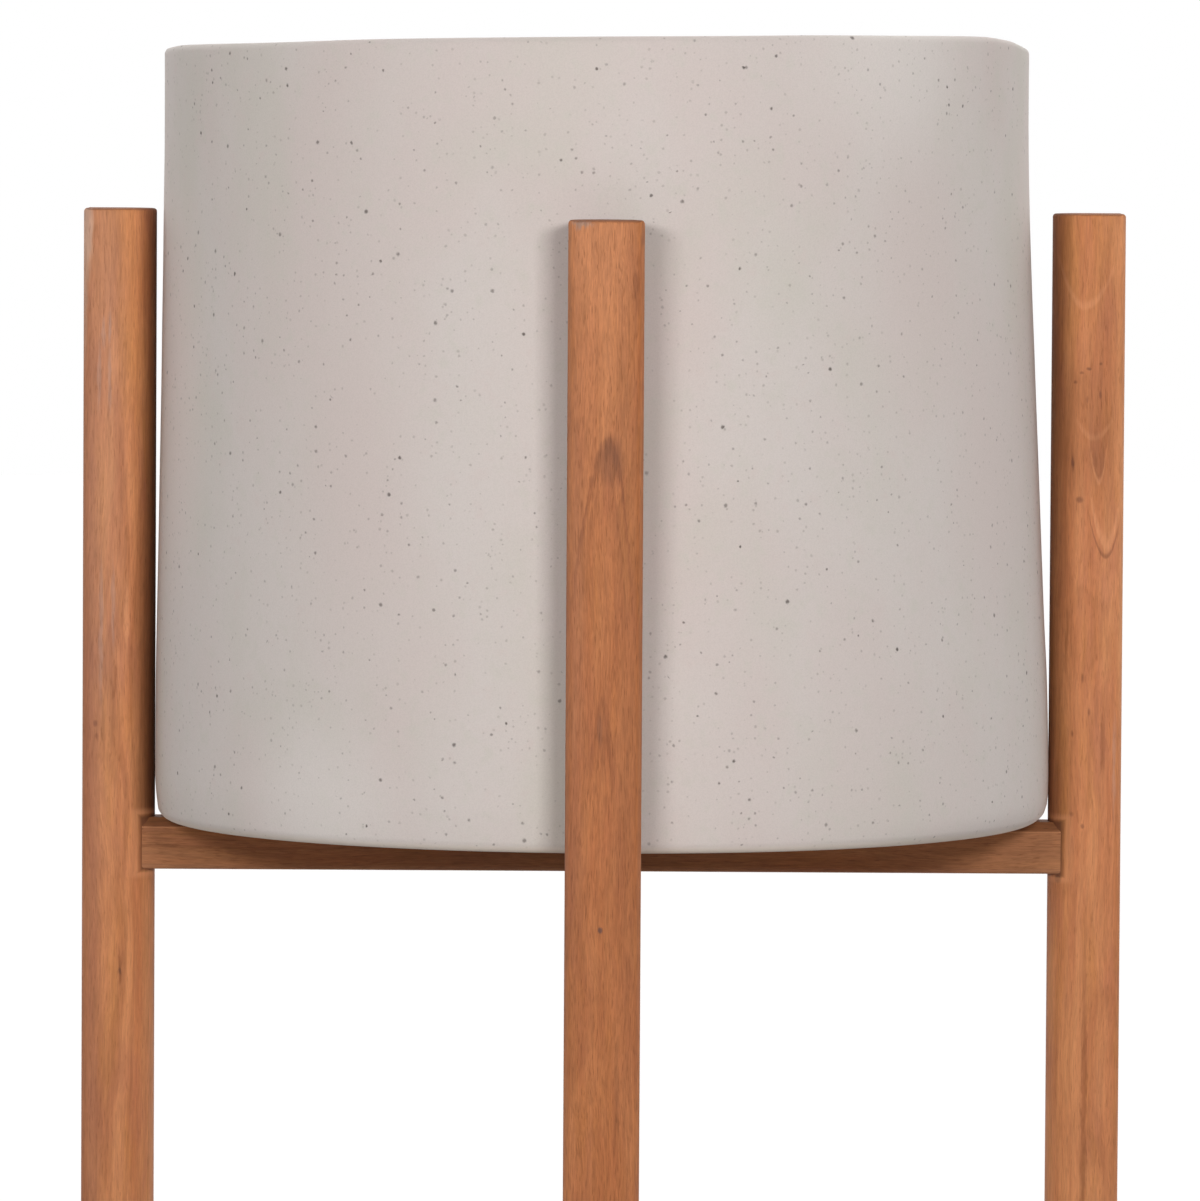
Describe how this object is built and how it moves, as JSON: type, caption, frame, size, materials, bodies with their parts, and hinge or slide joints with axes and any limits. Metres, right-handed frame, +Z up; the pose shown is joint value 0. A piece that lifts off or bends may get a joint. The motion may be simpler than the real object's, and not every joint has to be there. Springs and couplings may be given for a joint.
{
  "type": "plant stand with pot",
  "caption": "Wooden plant stand with upright legs around crossed rails, holding a large round speckled stoneware pot that lifts out.",
  "frame": {"origin": "on the floor, midway between the four legs", "axes": "+Z up, -Y to the front, +X to the right; the rail that runs left to right lies along X"},
  "size_m": [0.465, 0.465, 0.601],
  "materials": {
    "leg_wood": "oiled, satin",
    "rail_wood": "oiled, satin",
    "dowel_wood": "bare",
    "bolt_steel": "zinc plated",
    "insert_brass": "turned",
    "glide_nylon": "matte",
    "nail_steel": "bright",
    "pot_stoneware": "matte, speckled",
    "plug_rubber": "matte"
  },
  "bodies": {
    "stand": {"leg_front": "leg_wood", "leg_back": "leg_wood", "leg_left": "leg_wood", "leg_right": "leg_wood", "rail_across": "rail_wood", "rail_through": "rail_wood", "dowel_front_upper": "dowel_wood", "dowel_front_lower": "dowel_wood", "dowel_back_upper": "dowel_wood", "dowel_back_lower": "dowel_wood", "dowel_left_upper": "dowel_wood", "dowel_left_lower": "dowel_wood", "dowel_right_upper": "dowel_wood", "dowel_right_lower": "dowel_wood", "cross_bolt": "bolt_steel", "cross_insert": "insert_brass", "glide_front": "glide_nylon", "glide_back": "glide_nylon", "glide_left": "glide_nylon", "glide_right": "glide_nylon", "nail_front": "nail_steel", "nail_back": "nail_steel", "nail_left": "nail_steel", "nail_right": "nail_steel"},
    "pot": {"pot": "pot_stoneware"},
    "plug": {"drain_plug": "plug_rubber"}
  },
  "joints": [
    {"name": "pot_lift", "type": "slide", "parent": "stand", "child": "pot", "axis": [0, 0, 1], "range_m": [0, 0.3]},
    {"name": "plug_pull", "type": "slide", "parent": "pot", "child": "plug", "axis": [0, 0, 1], "range_m": [0, 0.36]}
  ]
}
